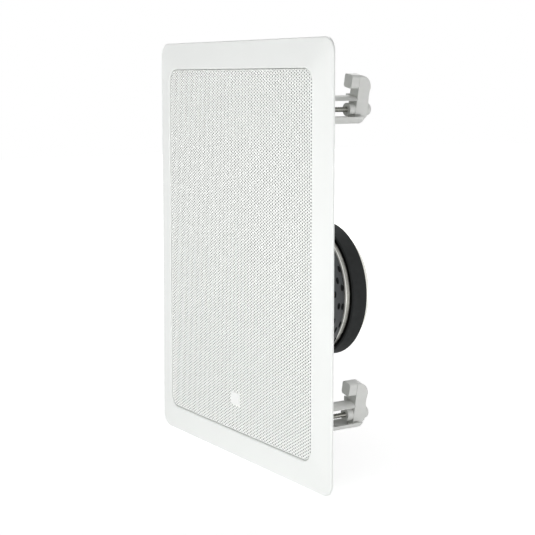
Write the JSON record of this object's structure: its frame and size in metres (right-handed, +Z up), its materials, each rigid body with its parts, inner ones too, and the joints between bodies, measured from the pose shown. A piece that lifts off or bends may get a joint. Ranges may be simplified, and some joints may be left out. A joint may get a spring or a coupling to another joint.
{
  "type": "in-wall loudspeaker",
  "caption": "Flat two-way loudspeaker for a wall cut-out: sloped white bezel, perforated grille, woofer with open magnet behind, and swing-out clamps that grip the wall panel.",
  "frame": {"origin": "middle of the bezel, on the wall plane that the back of its flange meets", "axes": "+Y into the wall, +Z up, +X right as seen from the room; the grille faces -Y"},
  "size_m": [0.266, 0.1024, 0.348],
  "materials": {
    "bezel_abs": "fine moulded texture, white",
    "grille_enamel": "satin white enamel",
    "scrim_cloth": "thin white acoustic cloth",
    "badge_plastic": "smooth, bare",
    "basket_paint": "dark grey paint",
    "gasket_foam": "matt black",
    "zinc_steel": "bright zinc plate",
    "surround_rubber": "matt black",
    "cone_polymer": "dark grey",
    "copper_wire": "enamelled copper",
    "spider_cloth": "varnished tan cloth",
    "ferrite": "matt charcoal, sintered",
    "black_plastic": "moulded",
    "dome_metal": "thin drawn metal",
    "nickel_plate": "plated magnet cup",
    "board_laminate": "brown laminate",
    "capacitor_sleeve": "dark blue sleeve",
    "resistor_ceramic": "cement body",
    "tab_brass": "plated",
    "clamp_nylon": "light grey, moulded"
  },
  "bodies": {
    "frame": {"bezel_frame": "bezel_abs", "grille": "grille_enamel", "grille_scrim": "scrim_cloth", "badge_plate": "badge_plastic", "woofer_basket": "basket_paint", "woofer_gasket": "gasket_foam", "woofer_screws": "zinc_steel", "woofer_top_plate": "zinc_steel", "woofer_back_plate": "zinc_steel", "crossover_screws": "zinc_steel", "input_screws": "zinc_steel", "woofer_surround": "surround_rubber", "crossover_coil": "copper_wire", "woofer_spider": "spider_cloth", "woofer_magnet": "ferrite", "tweeter_housing": "black_plastic", "tweeter_retainer": "black_plastic", "input_strip": "black_plastic", "tweeter_dome": "dome_metal", "tweeter_magnet": "nickel_plate", "crossover_board": "board_laminate", "crossover_capacitors": "capacitor_sleeve", "crossover_resistor": "resistor_ceramic", "input_tabs": "tab_brass", "clamp_tower_top_right": "clamp_nylon", "clamp_tower_bottom_right": "clamp_nylon", "clamp_tower_top_left": "clamp_nylon", "clamp_tower_bottom_left": "clamp_nylon"},
    "woofer_moving": {"woofer_cone": "cone_polymer", "woofer_dust_cap": "cone_polymer", "woofer_voice_coil": "copper_wire"},
    "dog_top_right": {"clamp_dog_top_right": "clamp_nylon"},
    "screw_top_right": {"clamp_screw_top_right": "zinc_steel"},
    "dog_bottom_right": {"clamp_dog_bottom_right": "clamp_nylon"},
    "screw_bottom_right": {"clamp_screw_bottom_right": "zinc_steel"},
    "dog_top_left": {"clamp_dog_top_left": "clamp_nylon"},
    "screw_top_left": {"clamp_screw_top_left": "zinc_steel"},
    "dog_bottom_left": {"clamp_dog_bottom_left": "clamp_nylon"},
    "screw_bottom_left": {"clamp_screw_bottom_left": "zinc_steel"}
  },
  "joints": [
    {"name": "woofer_stroke", "type": "slide", "parent": "frame", "child": "woofer_moving", "axis": [0, 1, 0], "range_m": [-0.004, 0.004], "stiffness_N_per_m": 1200},
    {"name": "swing_top_right", "type": "hinge", "parent": "frame", "child": "dog_top_right", "pos_m": [0.103, 0, 0.1195], "axis": [0, 1, 0], "range_deg": [-12, 78]},
    {"name": "turn_screw_top_right", "type": "hinge", "parent": "frame", "child": "screw_top_right", "pos_m": [0.103, 0, 0.1195], "axis": [0, 1, 0], "continuous": true},
    {"name": "swing_bottom_right", "type": "hinge", "parent": "frame", "child": "dog_bottom_right", "pos_m": [0.103, 0, -0.1195], "axis": [0, 1, 0], "range_deg": [-10.5, 79.5]},
    {"name": "turn_screw_bottom_right", "type": "hinge", "parent": "frame", "child": "screw_bottom_right", "pos_m": [0.103, 0, -0.1195], "axis": [0, 1, 0], "continuous": true},
    {"name": "swing_top_left", "type": "hinge", "parent": "frame", "child": "dog_top_left", "pos_m": [-0.103, 0, 0.1195], "axis": [0, 1, 0], "range_deg": [-10, 80]},
    {"name": "turn_screw_top_left", "type": "hinge", "parent": "frame", "child": "screw_top_left", "pos_m": [-0.103, 0, 0.1195], "axis": [0, 1, 0], "continuous": true},
    {"name": "swing_bottom_left", "type": "hinge", "parent": "frame", "child": "dog_bottom_left", "pos_m": [-0.103, 0, -0.1195], "axis": [0, 1, 0], "range_deg": [-10, 80]},
    {"name": "turn_screw_bottom_left", "type": "hinge", "parent": "frame", "child": "screw_bottom_left", "pos_m": [-0.103, 0, -0.1195], "axis": [0, 1, 0], "continuous": true}
  ]
}
